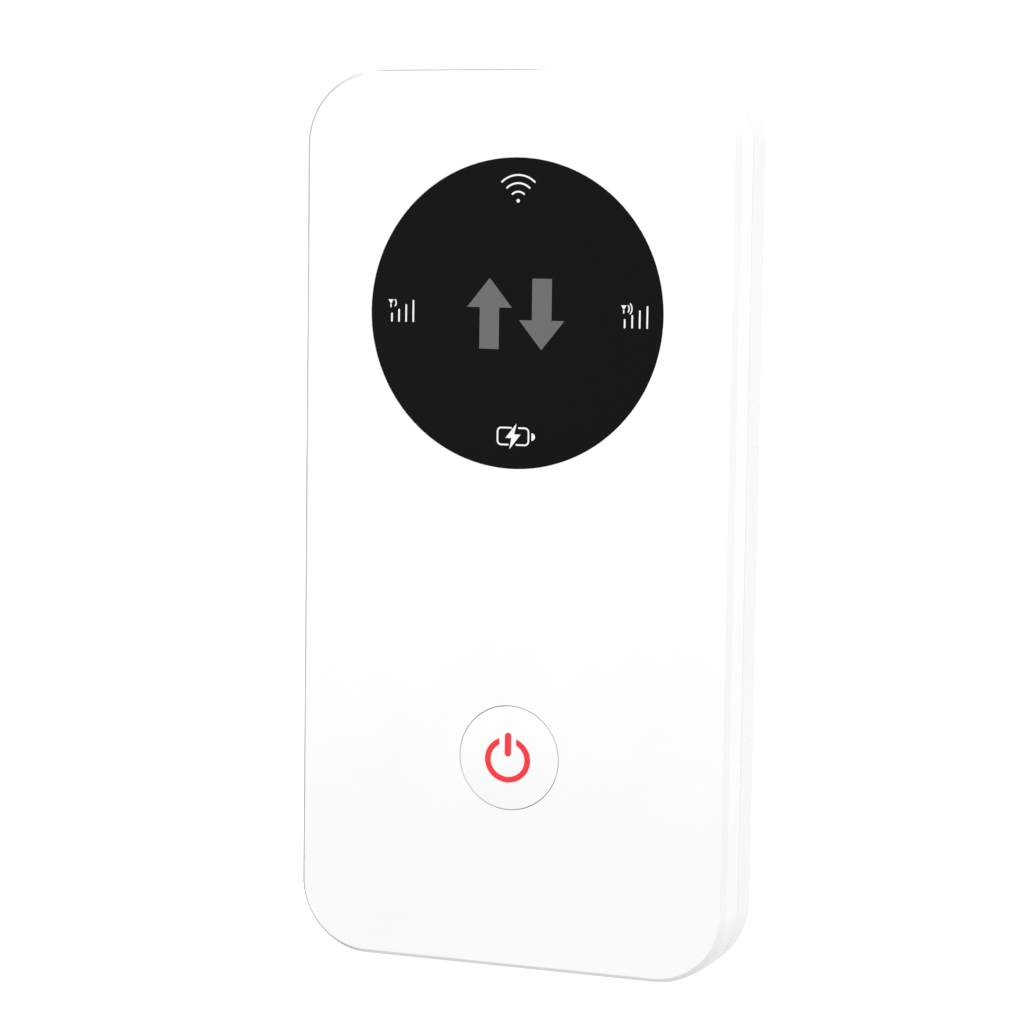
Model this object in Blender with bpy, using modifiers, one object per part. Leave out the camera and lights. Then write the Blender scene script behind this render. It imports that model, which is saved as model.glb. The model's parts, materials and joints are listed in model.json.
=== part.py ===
"""A pocket mobile hotspot that stands upright: a slim white case with a round status window and a
round power button in its face.

The origin is on the ground under the middle of the case. +Z runs up the long side and the face
looks along -Y. Lengths are written in millimetres, and the helpers turn them into metres.
"""

import math

import bmesh
import bpy
from mathutils import Vector

MM = 0.001

# Case
WIDTH = 72.8
HEIGHT = 142.8
DEPTH = 16.0
FOOT_RISE = 0.4
CORNER_RADIUS = 12.0
CORNER_STEPS = 8
FACE_Y = -DEPTH / 2
BACK_Y = DEPTH / 2 - FOOT_RISE
PARTING_Y = FACE_Y + 4.4
PARTING_GAP = 0.12
COVER_INSIDE_Y = FACE_Y + 1.6
SHELL_INSIDE_Y = BACK_Y - 1.5
WALL = 1.85
TONGUE_OUTSIDE = 1.15
TONGUE_HEIGHT = 1.2
OVERCUT = 1.0

# Status window and power button, both centred across the face
WINDOW_Z = 104.55
WINDOW_RADIUS = 24.25
WINDOW_THICKNESS = 0.9
WINDOW_RECESS = 1.15
LIGHT_HOLE_RADIUS = 22.4
BUTTON_Z = 34.4
BUTTON_RADIUS = 8.25
BUTTON_GAP = 0.2
BUTTON_TRAVEL = 0.3

# Places of the icons' lamps, from the window's centre
ICON_REACH = 19.3
CENTRE_LAMP_X = 4.5
POCKETS = {
    "wifi": ((0.0, ICON_REACH), (10.0, 5.6)),
    "signal_left": ((-ICON_REACH, 0.0), (5.4, 6.0)),
    "signal_right": ((ICON_REACH, 0.0), (5.4, 6.0)),
    "battery": ((0.0, -ICON_REACH), (9.0, 5.0)),
    "centre": ((0.0, 0.0), (19.0, 13.0)),
}

# Circuit board
BOARD_FRONT_Y = -2.6
BOARD_BACK_Y = -1.6
BOARD_HALF_WIDTH = 33.0
BOARD_LOW_Z = 3.2
BOARD_HIGH_Z = 139.4
BOARD_NOTCH = (9.5, 12.0)
SOLDER_GAP = 0.06
SHIELD_RISE = 2.0

# Fasteners and feet
SCREW_X = 28.0
SCREW_Z = (10.0, HEIGHT - 10.0)
SCREW_SEAT_Y = 1.0
SCREW_TIP_Y = -5.3
SCREW_HEAD_BORE = 2.2
SCREW_SHANK_BORE = 1.0
BOSS_END_Y = -2.1
BOARD_SCREW_X = 29.0
BOARD_SCREW_Z = (19.6, HEIGHT - 19.6)
BOARD_SCREW_TIP_Y = -4.9
FOOT_RADIUS = 4.0
FOOT_RECESS_Y = BACK_Y - 1.15

# Sockets in the lower and upper walls
PORT_Y = 0.2
PORT_HALF = (4.75, 1.88)
RESET_X = 15.0
RESET_RADIUS = 0.6
RESET_TRAVEL = 0.25
SIM_X = -12.0
SIM_Y = -0.5
SIM_HALF = (8.2, 1.3)

# Blank label on the back
LABEL_HALF_WIDTH = 22.0
LABEL_Z = (30.0, 54.0)
LABEL_MARGIN = 0.3
LABEL_DEPTH = 0.25

# Battery
BATTERY_SIZE = (60.0, 6.2, 92.0)
BATTERY_CENTRE = (0.0, 2.4, 72.0)
PLUG_X = -14.0

PALETTE = {
    "white_gloss": ((0.90, 0.91, 0.92), 0.22, 0.0),
    "white_satin": ((0.86, 0.87, 0.88), 0.40, 0.0),
    "window_black": ((0.010, 0.010, 0.011), 0.08, 0.0),
    "adhesive_black": ((0.02, 0.02, 0.02), 0.80, 0.0),
    "diffuser_white": ((0.80, 0.80, 0.78), 0.60, 0.0),
    "lamp": ((0.95, 0.92, 0.75), 0.30, 0.0),
    "board_green": ((0.02, 0.16, 0.08), 0.45, 0.0),
    "chip_black": ((0.03, 0.03, 0.035), 0.55, 0.0),
    "tin": ((0.62, 0.63, 0.64), 0.35, 1.0),
    "aluminium": ((0.70, 0.71, 0.72), 0.40, 1.0),
    "steel": ((0.45, 0.46, 0.47), 0.35, 1.0),
    "copper": ((0.72, 0.40, 0.22), 0.40, 1.0),
    "pad_grey": ((0.45, 0.50, 0.55), 0.85, 0.0),
    "pouch_silver": ((0.55, 0.56, 0.58), 0.38, 0.6),
    "wire_red": ((0.55, 0.03, 0.03), 0.50, 0.0),
    "wire_black": ((0.02, 0.02, 0.02), 0.50, 0.0),
    "ivory": ((0.78, 0.75, 0.66), 0.50, 0.0),
    "rubber_grey": ((0.55, 0.56, 0.57), 0.85, 0.0),
    "label_white": ((0.83, 0.83, 0.82), 0.60, 0.0),
    "gold": ((0.75, 0.58, 0.25), 0.35, 1.0),
}


def clear_scene():
    for obj in list(bpy.data.objects):
        bpy.data.objects.remove(obj, do_unlink=True)


def new_collection(name):
    collection = bpy.data.collections.new(name)
    bpy.context.scene.collection.children.link(collection)
    return collection


clear_scene()
PARTS = new_collection("mobile_hotspot")
CUTTERS = new_collection("cutters")


def finish(name):
    """The material of that name, made on first use."""
    if name in bpy.data.materials:
        return bpy.data.materials[name]
    color, roughness, metallic = PALETTE[name]
    material = bpy.data.materials.new(name)
    material.use_nodes = True
    shader = material.node_tree.nodes["Principled BSDF"]
    shader.inputs["Base Color"].default_value = (*color, 1.0)
    shader.inputs["Roughness"].default_value = roughness
    shader.inputs["Metallic"].default_value = metallic
    material.diffuse_color = (*color, 1.0)
    return material


def add_object(name, data, material):
    """A part with its own copy of a material, or a hidden cutter where there is none."""
    obj = bpy.data.objects.new(name, data)
    if material is None:
        CUTTERS.objects.link(obj)
        obj.hide_render = True
        obj.display_type = "WIRE"
        return obj
    PARTS.objects.link(obj)
    own = finish(material).copy()
    own.name = name
    data.materials.append(own)
    return obj


def from_bmesh(name, bm, material, smooth=False):
    mesh = bpy.data.meshes.new(name)
    bmesh.ops.recalc_face_normals(bm, faces=bm.faces)
    bm.to_mesh(mesh)
    bm.free()
    if smooth:
        mesh.shade_smooth()
        mesh.set_sharp_from_angle(angle=math.radians(35))
    return add_object(name, mesh, material)


def block(name, low, high, material=None, corner=0.0, along="Y", steps=4):
    """A box between two corners, with the four edges along one axis rounded."""
    low = Vector(low) * MM
    high = Vector(high) * MM
    bm = bmesh.new()
    bmesh.ops.create_cube(bm, size=1.0)
    bmesh.ops.scale(bm, vec=high - low, verts=bm.verts)
    if corner:
        axis = "XYZ".index(along)
        edges = [e for e in bm.edges if abs(e.verts[0].co[axis] - e.verts[1].co[axis]) > 1e-9]
        bmesh.ops.bevel(bm, geom=edges, offset=corner * MM, segments=steps, profile=0.5, affect="EDGES")
    obj = from_bmesh(name, bm, material)
    obj.location = (low + high) / 2
    return obj


def rod(name, radius, start, end, material=None, sides=24):
    """A cylinder from one point to another."""
    start = Vector(start) * MM
    end = Vector(end) * MM
    bm = bmesh.new()
    bmesh.ops.create_cone(
        bm,
        cap_ends=True,
        segments=sides,
        radius1=radius * MM,
        radius2=radius * MM,
        depth=(end - start).length,
    )
    obj = from_bmesh(name, bm, material, smooth=True)
    obj.location = (start + end) / 2
    obj.rotation_mode = "QUATERNION"
    obj.rotation_quaternion = (end - start).to_track_quat("Z", "Y")
    return obj


def turned(name, profile, x, z, material=None, sides=32):
    """A piece turned about an axis along Y: radius and Y pairs, from the face side to the back."""
    mesh = bpy.data.meshes.new(name)
    points = [(radius * MM, 0.0, -y * MM) for radius, y in profile]
    mesh.from_pydata(points, [(i, i + 1) for i in range(len(points) - 1)], [])
    obj = add_object(name, mesh, material)
    obj.location = (x * MM, 0.0, z * MM)
    obj.rotation_euler = (math.radians(90), 0.0, 0.0)
    screw = obj.modifiers.new("turn", "SCREW")
    screw.axis = "Z"
    screw.angle = math.radians(360)
    screw.steps = sides
    screw.render_steps = sides
    screw.use_merge_vertices = True
    screw.merge_threshold = 0.000002
    screw.use_smooth_shade = False
    return obj


def case_outline(inset, y):
    """Points around the case's rounded outline, moved in by inset, at one depth."""
    radius = CORNER_RADIUS - inset
    middle_x = WIDTH / 2 - CORNER_RADIUS
    middle_z = HEIGHT / 2 - CORNER_RADIUS
    corners = ((1, 1), (-1, 1), (-1, -1), (1, -1))
    points = []
    for quarter, (side_x, side_z) in enumerate(corners):
        for step in range(CORNER_STEPS + 1):
            angle = math.radians(90) * (quarter + step / CORNER_STEPS)
            x = side_x * middle_x + radius * math.cos(angle)
            z = HEIGHT / 2 + side_z * middle_z + radius * math.sin(angle)
            points.append(Vector((x, y, z)) * MM)
    return points


def tray(name, sections, material):
    """A case half: its outside, rim and inside as one loft through outlines of the case."""
    bm = bmesh.new()
    rings = [[bm.verts.new(point) for point in case_outline(inset, y)] for inset, y in sections]
    count = len(rings[0])
    for ring, following in zip(rings, rings[1:]):
        for i in range(count):
            j = (i + 1) % count
            bm.faces.new((ring[i], ring[j], following[j], following[i]))
    bm.faces.new(rings[0])
    bm.faces.new(rings[-1])
    return from_bmesh(name, bm, material, smooth=True)


def combine(obj, tool, operation):
    modifier = obj.modifiers.new(tool.name, "BOOLEAN")
    modifier.operation = operation
    modifier.solver = "EXACT"
    modifier.object = tool


def cut(obj, tool):
    combine(obj, tool, "DIFFERENCE")


def join(obj, tool):
    combine(obj, tool, "UNION")


def wire(name, points, radius, material):
    """A short round wire along a smooth route, closed at both ends."""
    curve = bpy.data.curves.new(name, "CURVE")
    curve.dimensions = "3D"
    curve.bevel_depth = radius * MM
    curve.bevel_resolution = 2
    curve.use_fill_caps = True
    spline = curve.splines.new("POLY")
    spline.points.add(len(points) - 1)
    for target, point in zip(spline.points, points):
        target.co = (*(Vector(point) * MM), 1.0)
    return add_object(name, curve, material)


def bend(start, end, rise, steps=10):
    """Points of an S-bend that leaves and arrives along Z and steps over by rise in Y."""
    points = []
    for step in range(steps + 1):
        part = step / steps
        ease = part * part * (3 - 2 * part)
        x = start[0] + (end[0] - start[0]) * part
        y = start[1] + rise * ease
        z = start[2] + (end[2] - start[2]) * part
        points.append((x, y, z))
    return points


def corners(xs, zs):
    return [(side * xs, z) for z in zs for side in (-1, 1)]


CASE_SCREWS = corners(SCREW_X, SCREW_Z)
BOARD_SCREWS = corners(BOARD_SCREW_X, BOARD_SCREW_Z)


def front_cover():
    rebate = TONGUE_OUTSIDE - 0.15
    rebate_y = PARTING_Y - TONGUE_HEIGHT - 0.2
    inside = WALL + 0.1
    cover = tray(
        "front_cover",
        [
            (1.22, FACE_Y),
            (0.43, FACE_Y + 1.25),
            (0.03, PARTING_Y - PARTING_GAP),
            (rebate, PARTING_Y - PARTING_GAP),
            (rebate, rebate_y),
            (inside, rebate_y),
            (inside, COVER_INSIDE_Y),
        ],
        "white_gloss",
    )
    root_y = COVER_INSIDE_Y - 0.4
    tip_room = 0.4
    for index, (x, z) in enumerate(CASE_SCREWS, 1):
        join(cover, rod(f"case_boss_{index}", 2.6, (x, root_y, z), (x, BOSS_END_Y, z)))
    for index, (x, z) in enumerate(BOARD_SCREWS, 1):
        boss_end = BOARD_FRONT_Y - SOLDER_GAP
        join(cover, rod(f"board_boss_{index}", 2.0, (x, root_y, z), (x, boss_end, z)))
    for index, (x, z) in enumerate(CASE_SCREWS, 1):
        ends = ((x, SCREW_TIP_Y - tip_room, z), (x, BOSS_END_Y + OVERCUT, z))
        cut(cover, rod(f"case_pilot_{index}", 0.85, *ends, sides=16))
    for index, (x, z) in enumerate(BOARD_SCREWS, 1):
        ends = ((x, BOARD_SCREW_TIP_Y - tip_room, z), (x, BOARD_FRONT_Y + OVERCUT, z))
        cut(cover, rod(f"board_pilot_{index}", 0.65, *ends, sides=16))
    recess_y = FACE_Y + WINDOW_RECESS
    recess_radius = WINDOW_RADIUS + 0.12
    above = FACE_Y - OVERCUT
    below = COVER_INSIDE_Y + OVERCUT
    cut(cover, rod("window_recess", recess_radius, (0, above, WINDOW_Z), (0, recess_y, WINDOW_Z), sides=64))
    cut(cover, rod("light_hole", LIGHT_HOLE_RADIUS, (0, above, WINDOW_Z), (0, below, WINDOW_Z), sides=48))
    hole_radius = BUTTON_RADIUS + BUTTON_GAP
    cut(cover, rod("button_hole", hole_radius, (0, above, BUTTON_Z), (0, below, BUTTON_Z), sides=40))


def back_shell():
    shell = tray(
        "back_shell",
        [
            (2.00, BACK_Y),
            (1.10, BACK_Y - 0.22),
            (0.35, BACK_Y - 0.85),
            (0.0, BACK_Y - 2.0),
            (0.0, PARTING_Y),
            (TONGUE_OUTSIDE, PARTING_Y),
            (TONGUE_OUTSIDE, PARTING_Y - TONGUE_HEIGHT),
            (WALL, PARTING_Y - TONGUE_HEIGHT),
            (WALL, SHELL_INSIDE_Y),
        ],
        "white_satin",
    )
    for index, (x, z) in enumerate(CASE_SCREWS, 1):
        ends = ((x, SHELL_INSIDE_Y + 0.4, z), (x, BOSS_END_Y + 0.25, z))
        join(shell, rod(f"screw_tube_{index}", 3.2, *ends, sides=28))
    foot_recess_radius = FOOT_RADIUS + 0.15
    bore = [
        (0.0, BOSS_END_Y - OVERCUT),
        (SCREW_SHANK_BORE, BOSS_END_Y - OVERCUT),
        (SCREW_SHANK_BORE, SCREW_SEAT_Y),
        (SCREW_HEAD_BORE, SCREW_SEAT_Y),
        (SCREW_HEAD_BORE, FOOT_RECESS_Y),
        (foot_recess_radius, FOOT_RECESS_Y),
        (foot_recess_radius, BACK_Y + OVERCUT),
        (0.0, BACK_Y + OVERCUT),
    ]
    for index, (x, z) in enumerate(CASE_SCREWS, 1):
        cut(shell, turned(f"screw_bore_{index}", bore, x, z, sides=28))
    through = WALL + 0.6
    half_x, half_y = PORT_HALF
    low = (-half_x, PORT_Y - half_y, -OVERCUT)
    high = (half_x, PORT_Y + half_y, through)
    cut(shell, block("port_opening", low, high, corner=1.8, along="Z"))
    ends = ((RESET_X, PORT_Y, -OVERCUT), (RESET_X, PORT_Y, through))
    cut(shell, rod("reset_pinhole", RESET_RADIUS, *ends, sides=16))
    half_x, half_y = SIM_HALF
    low = (SIM_X - half_x, SIM_Y - half_y, HEIGHT - through)
    high = (SIM_X + half_x, SIM_Y + half_y, HEIGHT + OVERCUT)
    cut(shell, block("sim_opening", low, high, corner=1.2, along="Z"))
    low = (-LABEL_HALF_WIDTH - LABEL_MARGIN, BACK_Y - LABEL_DEPTH, LABEL_Z[0] - LABEL_MARGIN)
    high = (LABEL_HALF_WIDTH + LABEL_MARGIN, BACK_Y + OVERCUT, LABEL_Z[1] + LABEL_MARGIN)
    cut(shell, block("label_recess", low, high, corner=1.8))


def status_window():
    back = FACE_Y + WINDOW_THICKNESS
    edge_break = 0.15
    glass = [
        (0.0, FACE_Y),
        (WINDOW_RADIUS - edge_break, FACE_Y),
        (WINDOW_RADIUS, FACE_Y + edge_break),
        (WINDOW_RADIUS, back),
        (0.0, back),
    ]
    turned("display_window", glass, 0, WINDOW_Z, "window_black", sides=64)
    tape_front = back + 0.06
    tape_back = FACE_Y + WINDOW_RECESS - 0.06
    inner = LIGHT_HOLE_RADIUS + 0.2
    outer = WINDOW_RADIUS - 0.1
    tape = [
        (inner, tape_front),
        (outer, tape_front),
        (outer, tape_back),
        (inner, tape_back),
        (inner, tape_front),
    ]
    turned("window_adhesive", tape, 0, WINDOW_Z, "adhesive_black", sides=48)
    film_front = tape_back + 0.1
    film_back = film_front + 0.22
    film_radius = LIGHT_HOLE_RADIUS - 0.3
    film = [(0.0, film_front), (film_radius, film_front), (film_radius, film_back), (0.0, film_back)]
    turned("diffuser_film", film, 0, WINDOW_Z, "diffuser_white", sides=40)


def light_mask():
    front = COVER_INSIDE_Y + 0.1
    back = BOARD_FRONT_Y - 0.3
    radius = LIGHT_HOLE_RADIUS + 0.8
    mask = rod("light_mask", radius, (0, back, WINDOW_Z), (0, front, WINDOW_Z), "adhesive_black", sides=40)
    for name, ((x, z), (width, height)) in POCKETS.items():
        low = (x - width / 2, front - OVERCUT, WINDOW_Z + z - height / 2)
        high = (x + width / 2, back + OVERCUT, WINDOW_Z + z + height / 2)
        cut(mask, block(f"pocket_{name}", low, high, corner=1.0))


def lamp(name, x, z):
    half = 0.8
    back = BOARD_FRONT_Y - SOLDER_GAP
    block(name, (x - half, back - 0.7, z - half), (x + half, back, z + half), "lamp", corner=0.2, steps=2)


def lamps():
    for name, ((x, z), _) in POCKETS.items():
        if name != "centre":
            lamp(f"led_{name}", x, WINDOW_Z + z)
    for side, x in (("left", -CENTRE_LAMP_X), ("right", CENTRE_LAMP_X)):
        lamp(f"led_centre_{side}", x, WINDOW_Z)


def power_button():
    flange = BUTTON_RADIUS + 1.1
    flange_y = COVER_INSIDE_Y + 0.2
    flange_back = flange_y + 0.6
    edge_break = 0.2
    post_radius = 1.6
    post_end = flange_back + 0.3
    cap = [
        (0.0, FACE_Y),
        (BUTTON_RADIUS - edge_break, FACE_Y),
        (BUTTON_RADIUS, FACE_Y + edge_break),
        (BUTTON_RADIUS, flange_y),
        (flange, flange_y),
        (flange, flange_back),
        (post_radius, flange_back),
        (post_radius, post_end),
        (0.0, post_end),
    ]
    turned("power_button", cap, 0, BUTTON_Z, "white_gloss", sides=40)
    plunger_radius = 1.5
    plunger_front = post_end + 0.1
    plunger_back = plunger_front + 1.1
    plunger = [
        (0.0, plunger_front),
        (plunger_radius - 0.3, plunger_front),
        (plunger_radius, plunger_front + 0.3),
        (plunger_radius, plunger_back),
        (0.0, plunger_back),
    ]
    turned("switch_plunger", plunger, 0, BUTTON_Z, "chip_black", sides=20)
    back = BOARD_FRONT_Y - SOLDER_GAP
    half = 3.1
    body_front = -4.4
    low = (-half, body_front, BUTTON_Z - half)
    high = (half, back, BUTTON_Z + half)
    body = block("switch_body", low, high, "tin", corner=0.5, steps=2)
    well_radius = plunger_radius + 0.15
    well_ends = ((0, body_front - OVERCUT, BUTTON_Z), (0, plunger_back + BUTTON_TRAVEL + 0.2, BUTTON_Z))
    cut(body, rod("switch_well", well_radius, *well_ends, sides=20))


def main_board():
    board = block(
        "main_board",
        (-BOARD_HALF_WIDTH, BOARD_FRONT_Y, BOARD_LOW_Z),
        (BOARD_HALF_WIDTH, BOARD_BACK_Y, BOARD_HIGH_Z),
        "board_green",
        corner=2.0,
    )
    notch_x, notch_z = BOARD_NOTCH
    for side in (-1, 1):
        inner = side * (BOARD_HALF_WIDTH - notch_x)
        outer = side * (BOARD_HALF_WIDTH + OVERCUT)
        ends = {
            "low": (BOARD_LOW_Z - OVERCUT, BOARD_LOW_Z + notch_z),
            "high": (BOARD_HIGH_Z - notch_z, BOARD_HIGH_Z + OVERCUT),
        }
        for end, (low_z, high_z) in ends.items():
            low = (min(inner, outer), BOARD_FRONT_Y - OVERCUT, low_z)
            high = (max(inner, outer), BOARD_BACK_Y + OVERCUT, high_z)
            side_name = "left" if side < 0 else "right"
            cut(board, block(f"board_notch_{side_name}_{end}", low, high, corner=1.2))
    for index, (x, z) in enumerate(BOARD_SCREWS, 1):
        ends = ((x, BOARD_FRONT_Y - OVERCUT, z), (x, BOARD_BACK_Y + OVERCUT, z))
        cut(board, rod(f"board_hole_{index}", 0.8, *ends, sides=16))


def front_chip(name, x, z, width, height, thickness, material="chip_black"):
    back = BOARD_FRONT_Y - SOLDER_GAP
    low = (x - width / 2, back - thickness, z - height / 2)
    high = (x + width / 2, back, z + height / 2)
    return block(name, low, high, material)


def shield_can(name, x, z, width, height):
    sheet = 0.25
    can = front_chip(name, x, z, width, height, SHIELD_RISE, "tin")
    back = BOARD_FRONT_Y - SOLDER_GAP
    low = (x - width / 2 + sheet, back - SHIELD_RISE + sheet, z - height / 2 + sheet)
    high = (x + width / 2 - sheet, back + OVERCUT, z + height / 2 - sheet)
    cut(can, block(f"{name}_inside", low, high))


def radio_section():
    middle_z = 63.5
    modem_x = -13.0
    wifi_x = 16.0
    front_chip("modem_chip", modem_x, middle_z, 15.0, 15.0, 1.2)
    shield_can("modem_shield", modem_x, middle_z, 26.0, 29.0)
    front_chip("wifi_chip", wifi_x, middle_z + 2.0, 9.0, 9.0, 1.0)
    shield_can("wifi_shield", wifi_x, middle_z, 22.0, 24.0)
    shield_front = BOARD_FRONT_Y - SOLDER_GAP - SHIELD_RISE
    pad_back = shield_front - SOLDER_GAP
    pad_front = pad_back - 0.45
    pad_half = 9.0
    low = (modem_x - pad_half, pad_front, middle_z - pad_half)
    high = (modem_x + pad_half, pad_back, middle_z + pad_half)
    block("thermal_pad", low, high, "pad_grey")
    plate_half_x = 29.0
    plate_half_z = 15.5
    plate_back = pad_front - SOLDER_GAP
    low = (-plate_half_x, plate_back - 0.4, middle_z - plate_half_z)
    high = (plate_half_x, plate_back, middle_z + plate_half_z)
    block("heat_spreader", low, high, "aluminium", corner=2.0)


def power_section():
    power_x = -20.0
    memory_x = 20.0
    front_chip("power_chip", power_x, 30.0, 6.0, 6.0, 1.0)
    front_chip("power_inductor", power_x, 21.0, 6.5, 6.5, 2.8)
    front_chip("memory_chip", memory_x, 28.0, 11.0, 9.0, 1.1)


def battery():
    size = Vector(BATTERY_SIZE)
    centre = Vector(BATTERY_CENTRE)
    low = centre - size / 2
    high = centre + size / 2
    block("battery", low, high, "pouch_silver", corner=2.4, along="Z", steps=3)
    tape_gap = 0.1
    tape_low = (low.x + 8, high.y + tape_gap, low.z + 10)
    tape_high = (high.x - 8, SHELL_INSIDE_Y - tape_gap, high.z - 10)
    block("battery_adhesive", tape_low, tape_high, "adhesive_black")
    socket_front = BOARD_BACK_Y + SOLDER_GAP
    socket_back = socket_front + 1.3
    socket_low = (PLUG_X - 3.2, socket_front, 15.0)
    socket_high = (PLUG_X + 3.2, socket_back, 19.4)
    block("battery_socket", socket_low, socket_high, "ivory", corner=0.4, steps=2)
    plug_front = socket_back + SOLDER_GAP
    plug_back = plug_front + 1.24
    plug_top = 19.0
    plug_low = (PLUG_X - 2.6, plug_front, 15.4)
    plug_high = (PLUG_X + 2.6, plug_back, plug_top)
    block("battery_plug", plug_low, plug_high, "chip_black", corner=0.3, steps=2)
    wire_y = (plug_front + plug_back) / 2
    wire_gap = 0.1
    for name, shift in (("wire_red", -1.2), ("wire_black", 1.2)):
        start = (PLUG_X + shift, wire_y, plug_top + wire_gap)
        end = (PLUG_X + shift * 1.8, wire_y, low.z - wire_gap)
        wire(f"battery_{name}", bend(start, end, centre.y - wire_y), 0.45, name)


def usb_socket():
    wall = 0.3
    half_x = 4.47
    half_y = 1.58
    mouth = 0.5
    end = 8.3
    shell = block(
        "usb_c_shell",
        (-half_x, PORT_Y - half_y, mouth),
        (half_x, PORT_Y + half_y, end),
        "tin",
        corner=1.5,
        along="Z",
    )
    inside = block(
        "usb_c_inside",
        (-half_x + wall, PORT_Y - half_y + wall, mouth - OVERCUT),
        (half_x - wall, PORT_Y + half_y - wall, end - 0.6),
        corner=1.2,
        along="Z",
    )
    cut(shell, inside)
    tongue_x = 3.35
    tongue_y = 0.35
    tongue_low = (-tongue_x, PORT_Y - tongue_y, mouth + 1.1)
    tongue_high = (tongue_x, PORT_Y + tongue_y, end - 0.7)
    block("usb_c_tongue", tongue_low, tongue_high, "chip_black", corner=0.2, along="Z", steps=2)


def reset_switch():
    low_z = 3.6
    body = block(
        "reset_switch_body",
        (RESET_X - 2.2, BOARD_BACK_Y + SOLDER_GAP, low_z),
        (RESET_X + 2.2, PORT_Y + 1.2, low_z + 3.2),
        "tin",
        corner=0.3,
        along="Z",
        steps=2,
    )
    plunger_low = WALL + 0.45
    plunger_high = low_z + 0.8
    well_high = plunger_high + RESET_TRAVEL + 0.3
    well_ends = ((RESET_X, PORT_Y, low_z - OVERCUT), (RESET_X, PORT_Y, well_high))
    cut(body, rod("reset_well", RESET_RADIUS + 0.15, *well_ends, sides=16))
    ends = ((RESET_X, PORT_Y, plunger_low), (RESET_X, PORT_Y, plunger_high))
    rod("reset_plunger", RESET_RADIUS, *ends, "chip_black", sides=16)


def sim_holder():
    socket_low_z = 124.0
    socket_high_z = BOARD_HIGH_Z - 0.2
    socket = block(
        "sim_socket",
        (SIM_X - 8.6, SIM_Y - 1.0, socket_low_z),
        (SIM_X + 8.6, SIM_Y + 1.0, socket_high_z),
        "tin",
    )
    inside = block(
        "sim_socket_inside",
        (SIM_X - 7.5, SIM_Y - 0.77, socket_low_z + 0.4),
        (SIM_X + 7.5, SIM_Y + 0.77, socket_high_z + OVERCUT),
    )
    cut(socket, inside)
    plate_low = 126.0
    plate_high = HEIGHT - 0.6
    tray_plate = block(
        "sim_tray",
        (SIM_X - 7.1, SIM_Y - 0.6, plate_low),
        (SIM_X + 7.1, SIM_Y + 0.6, plate_high),
        "white_satin",
        corner=0.8,
    )
    cap = block(
        "sim_tray_cap",
        (SIM_X - 8.0, SIM_Y - 1.1, HEIGHT - 1.0),
        (SIM_X + 8.0, SIM_Y + 1.1, HEIGHT),
        corner=1.05,
        along="Z",
    )
    join(tray_plate, cap)
    eject_x = SIM_X + 6.2
    ends = ((eject_x, SIM_Y, HEIGHT - 0.7), (eject_x, SIM_Y, HEIGHT + OVERCUT))
    cut(tray_plate, rod("eject_pinhole", 0.45, *ends, sides=14))
    card_size = Vector((12.3, 0.67, 8.8))
    card_low = Vector((SIM_X - card_size.x / 2, SIM_Y - 0.2, plate_low + 1.4))
    card_high = card_low + card_size
    gap = Vector((0.1, 0.1, 0.1))
    pocket_high = Vector((card_high.x, card_high.y + OVERCUT, card_high.z)) + gap
    cut(tray_plate, block("card_pocket", card_low - gap, pocket_high))
    block("sim_card", card_low, card_high, "gold", corner=0.6)


def antennas():
    standoff = WALL + 0.15
    strip = 0.3
    front = -1.2
    back = 5.2
    levels = {"lower": (24.0, 62.0), "upper": (70.0, 118.0)}
    outer_x = WIDTH / 2 - standoff
    sides = {"left": (-outer_x, strip - outer_x), "right": (outer_x - strip, outer_x)}
    for side, (low_x, high_x) in sides.items():
        for level, (low_z, high_z) in levels.items():
            block(f"antenna_{side}_{level}", (low_x, front, low_z), (high_x, back, high_z), "copper")
    top = HEIGHT - standoff
    block("wifi_antenna_top", (4.0, front + 0.2, top - strip), (22.0, back, top), "copper")
    block("wifi_antenna_bottom", (-23.0, front + 0.2, standoff), (-8.0, back, standoff + strip), "copper")


def screw_piece(name, x, z, seat_y, head_radius, head_height, shank_radius, tip_y):
    """A pan-head screw driven from the back, its point towards the face."""
    profile = [
        (0.0, tip_y),
        (shank_radius * 0.5, tip_y),
        (shank_radius, tip_y + shank_radius * 0.5),
        (shank_radius, seat_y),
        (head_radius, seat_y),
        (head_radius, seat_y + head_height * 0.7),
        (head_radius * 0.75, seat_y + head_height),
        (0.0, seat_y + head_height),
    ]
    turned(name, profile, x, z, "steel", sides=14)


def fasteners():
    for index, (x, z) in enumerate(CASE_SCREWS, 1):
        screw_piece(f"case_screw_{index}", x, z, SCREW_SEAT_Y + SOLDER_GAP, 1.8, 1.2, 0.8, SCREW_TIP_Y)
    for index, (x, z) in enumerate(BOARD_SCREWS, 1):
        screw_piece(f"board_screw_{index}", x, z, BOARD_BACK_Y + SOLDER_GAP, 1.4, 0.8, 0.6, BOARD_SCREW_TIP_Y)


def feet():
    base = FOOT_RECESS_Y + 0.1
    sole = DEPTH / 2
    edge_break = 0.3
    profile = [
        (0.0, base),
        (FOOT_RADIUS, base),
        (FOOT_RADIUS, sole - edge_break),
        (FOOT_RADIUS - edge_break, sole),
        (0.0, sole),
    ]
    for index, (x, z) in enumerate(CASE_SCREWS, 1):
        turned(f"foot_{index}", profile, x, z, "rubber_grey", sides=28)


def back_label():
    low = (-LABEL_HALF_WIDTH, BACK_Y - LABEL_DEPTH + 0.05, LABEL_Z[0])
    high = (LABEL_HALF_WIDTH, BACK_Y - 0.02, LABEL_Z[1])
    block("blank_label", low, high, "label_white", corner=1.5)


front_cover()
back_shell()
status_window()
light_mask()
lamps()
power_button()
main_board()
radio_section()
power_section()
battery()
usb_socket()
reset_switch()
sim_holder()
antennas()
fasteners()
feet()
back_label()
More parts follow.
